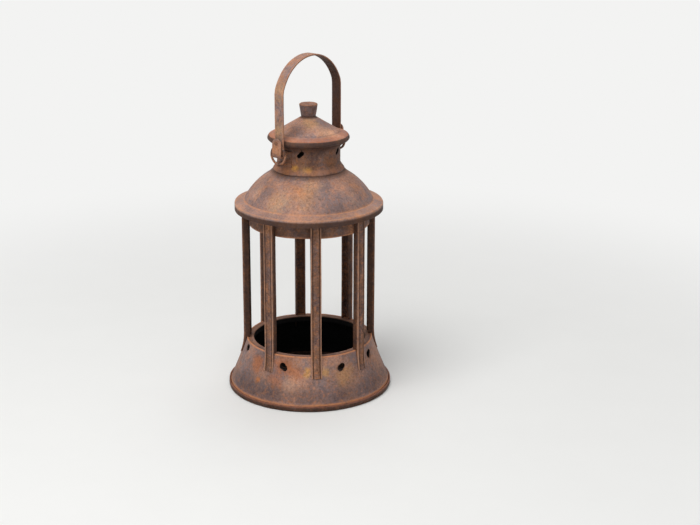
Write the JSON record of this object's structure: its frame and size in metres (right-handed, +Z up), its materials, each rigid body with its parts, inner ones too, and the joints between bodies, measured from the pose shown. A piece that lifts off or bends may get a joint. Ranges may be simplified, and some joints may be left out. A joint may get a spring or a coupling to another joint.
{
  "type": "punched tin lantern",
  "caption": "Round rusted tin candle lantern with a punched flared skirt in a tray, channel bars, a domed roof, a vented neck, a lift-off cap and a swinging strap bail.",
  "frame": {"origin": "centre of the tray's underside, on the surface that the lantern stands on", "axes": "+Z up along the lantern's axis, X along the bail's swing axis, Y level and square to it"},
  "size_m": [0.16, 0.16, 0.3282],
  "materials": {
    "bail_strap": "matt, ochre rust",
    "bar_tin": "matt, brown rust",
    "cap_tin": "matt, mottled rust",
    "collar_tin": "matt, dark rust",
    "dish_tin": "matt, sooted",
    "fitting_tin": "matt, dark rust",
    "inner_tin": "matt, dark rust",
    "knob_tin": "matt, dark rust",
    "neck_tin": "matt, ochre rust",
    "ring_wire": "worn",
    "rivet_iron": "worn",
    "roof_tin": "matt, mottled rust",
    "skirt_tin": "matt, mottled rust",
    "tray_tin": "matt, dark rust"
  },
  "bodies": {
    "lantern_body": {"base_tray": "tray_tin", "candle_dish": "dish_tin", "skirt": "skirt_tin", "mouth_ring": "inner_tin", "bar_1": "bar_tin", "bar_2": "bar_tin", "bar_3": "bar_tin", "bar_4": "bar_tin", "bar_5": "bar_tin", "bar_6": "bar_tin", "bar_7": "bar_tin", "bar_8": "bar_tin", "collar": "collar_tin", "roof": "roof_tin", "neck": "neck_tin", "ear_left": "fitting_tin", "ear_right": "fitting_tin", "ear_rivets": "rivet_iron"},
    "lid": {"cap": "cap_tin", "knob": "knob_tin", "knob_rivet": "rivet_iron"},
    "bail": {"bail_handle": "bail_strap", "bail_rivets": "rivet_iron"},
    "ring_left": {"ring_left": "ring_wire"},
    "ring_right": {"ring_right": "ring_wire"}
  },
  "joints": [
    {"name": "bail_swing", "type": "hinge", "parent": "lantern_body", "child": "bail", "pos_m": [0, 0, 0.2388], "axis": [1, 0, 0], "range_deg": [-115, 115]},
    {"name": "ring_left_turn", "type": "hinge", "parent": "lantern_body", "child": "ring_left", "pos_m": [-0.0426, 0, 0.2388], "axis": [1, 0, 0], "continuous": true},
    {"name": "ring_right_turn", "type": "hinge", "parent": "lantern_body", "child": "ring_right", "pos_m": [0.0426, 0, 0.2388], "axis": [1, 0, 0], "continuous": true},
    {"name": "cap_lift", "type": "slide", "parent": "lantern_body", "child": "lid", "axis": [0, 0, 1], "range_m": [0, 0.035]}
  ]
}
